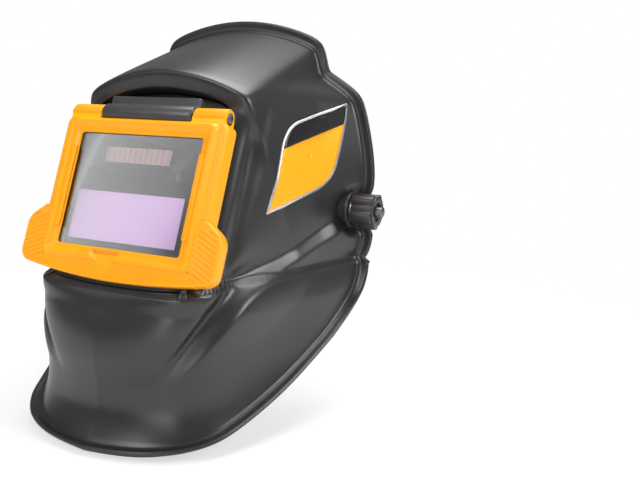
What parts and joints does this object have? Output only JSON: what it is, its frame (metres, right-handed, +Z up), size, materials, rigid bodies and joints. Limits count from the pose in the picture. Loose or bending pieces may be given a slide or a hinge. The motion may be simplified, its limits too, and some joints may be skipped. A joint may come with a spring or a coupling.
{
  "type": "welding helmet",
  "caption": "Welding helmet: moulded shell with a flip-up auto-darkening filter holder, clear grinding window, external shade dial and ratchet headgear on side pivots.",
  "frame": {"origin": "midway between the two side pivots, on the axis that the shell tilts about, where the wearer's head carries the helmet", "axes": "-Y is where the wearer looks, +Z is up, +X is the wearer's left"},
  "size_m": [0.262, 0.3155, 0.2862],
  "materials": {
    "shell": "satin moulded",
    "window_plate": "moulded",
    "hinge_block": "moulded",
    "hinge_pin": "plain",
    "hinge_clip": "plain",
    "grind_window": "clear polycarbonate",
    "window_clip_l": "moulded",
    "window_clip_r": "moulded",
    "rest_pad": "soft",
    "boss_l": "moulded",
    "boss_r": "moulded",
    "holder": "satin orange",
    "front_lens": "clear polycarbonate",
    "lens_rail_l": "satin orange",
    "lens_rail_r": "satin orange",
    "filter_case": "fine texture",
    "filter_glass": "violet interference coat",
    "solar_cell": "solar strip",
    "sensor_l": "dark",
    "sensor_r": "dark",
    "sensitivity_knob": "moulded",
    "delay_knob": "moulded",
    "mode_switch": "moulded",
    "inner_lens": "clear polycarbonate",
    "case_spring": "spring wire",
    "shade_base": "moulded",
    "shade_knob": "moulded",
    "shade_lead": "flexible lead",
    "headband": "moulded",
    "sweatband": "padded",
    "crown_strap_l": "moulded",
    "crown_strap_r": "moulded",
    "fore_strap": "moulded",
    "arm_l": "moulded",
    "arm_r": "moulded",
    "arm_rivet_l": "plain",
    "arm_rivet_r": "plain",
    "bolt_l": "plain",
    "bolt_r": "plain",
    "washer_l": "nylon",
    "washer_r": "nylon",
    "spring_washer_l": "plain",
    "spring_washer_r": "plain",
    "side_knob_l": "moulded",
    "side_knob_r": "moulded",
    "rear_strap_l": "moulded",
    "rear_strap_r": "moulded",
    "ratchet_housing": "moulded",
    "rear_pad": "padded",
    "ratchet_spindle": "nylon",
    "ratchet_knob": "moulded"
  },
  "bodies": {
    "headgear": {"headband": "headband", "sweatband": "sweatband", "crown_strap_l": "crown_strap_l", "crown_strap_r": "crown_strap_r", "fore_strap": "fore_strap", "arm_l": "arm_l", "arm_r": "arm_r", "arm_rivet_l": "arm_rivet_l", "arm_rivet_r": "arm_rivet_r", "bolt_l": "bolt_l", "bolt_r": "bolt_r", "washer_l": "washer_l", "washer_r": "washer_r", "spring_washer_l": "spring_washer_l", "spring_washer_r": "spring_washer_r", "rear_strap_l": "rear_strap_l", "rear_strap_r": "rear_strap_r"},
    "shell": {"shell": "shell", "window_plate": "window_plate", "hinge_block": "hinge_block", "hinge_pin": "hinge_pin", "hinge_clip": "hinge_clip", "grind_window": "grind_window", "window_clip_l": "window_clip_l", "window_clip_r": "window_clip_r", "rest_pad": "rest_pad", "boss_l": "boss_l", "boss_r": "boss_r", "shade_base": "shade_base", "shade_lead": "shade_lead"},
    "front": {"holder": "holder", "front_lens": "front_lens", "lens_rail_l": "lens_rail_l", "lens_rail_r": "lens_rail_r", "filter_case": "filter_case", "filter_glass": "filter_glass", "solar_cell": "solar_cell", "sensor_l": "sensor_l", "sensor_r": "sensor_r", "inner_lens": "inner_lens", "case_spring": "case_spring"},
    "sensitivity_dial": {"sensitivity_knob": "sensitivity_knob"},
    "delay_dial": {"delay_knob": "delay_knob"},
    "mode_slider": {"mode_switch": "mode_switch"},
    "shade_dial": {"shade_knob": "shade_knob"},
    "knob_left": {"side_knob_l": "side_knob_l"},
    "knob_right": {"side_knob_r": "side_knob_r"},
    "rear_unit": {"ratchet_housing": "ratchet_housing", "rear_pad": "rear_pad"},
    "rear_dial": {"ratchet_spindle": "ratchet_spindle", "ratchet_knob": "ratchet_knob"}
  },
  "joints": [
    {"name": "shell_tilt", "type": "hinge", "parent": "headgear", "child": "shell", "pos_m": [0, 0, 0], "axis": [-1, 0, 0], "range_deg": [0, 60]},
    {"name": "front_flip", "type": "hinge", "parent": "shell", "child": "front", "pos_m": [0, -0.10439, 0.07005], "axis": [-1, 0, 0], "range_deg": [0, 85], "deforming": ["shade_lead"]},
    {"name": "knob_left_turn", "type": "hinge", "parent": "headgear", "child": "knob_left", "pos_m": [0.118, 0, 0], "axis": [1, 0, 0], "range_deg": [-360, 0]},
    {"name": "knob_right_turn", "type": "hinge", "parent": "headgear", "child": "knob_right", "pos_m": [-0.118, 0, 0], "axis": [-1, 0, 0], "range_deg": [-360, 0]},
    {"name": "sensitivity_turn", "type": "hinge", "parent": "front", "child": "sensitivity_dial", "pos_m": [-0.04, -0.1109, 0.04032], "axis": [0, 0.9272, -0.3746], "range_deg": [-135, 135]},
    {"name": "delay_turn", "type": "hinge", "parent": "front", "child": "delay_dial", "pos_m": [0.04, -0.1109, 0.04032], "axis": [0, 0.9272, -0.3746], "range_deg": [-135, 135]},
    {"name": "mode_slide", "type": "slide", "parent": "front", "child": "mode_slider", "axis": [1, 0, 0], "range_m": [-0.006, 0.006]},
    {"name": "shade_turn", "type": "hinge", "parent": "shell", "child": "shade_dial", "pos_m": [-0.07986, -0.062, 0.038], "axis": [-0.9593, -0.2427, 0.1444], "range_deg": [-135, 135]},
    {"name": "rear_slide", "type": "slide", "parent": "headgear", "child": "rear_unit", "axis": [0, 0.9511, -0.309], "range_m": [-0.012, 0.008], "deforming": ["rear_strap_l", "rear_strap_r"]},
    {"name": "rear_turn", "type": "hinge", "parent": "rear_unit", "child": "rear_dial", "pos_m": [0, 0.11386, -0.00845], "axis": [0, 0.9511, -0.309], "range_deg": [-110, 160]}
  ],
  "couplings": [
    {"joint": "rear_turn", "follows": "rear_slide", "rad_per_m": -222.2}
  ]
}
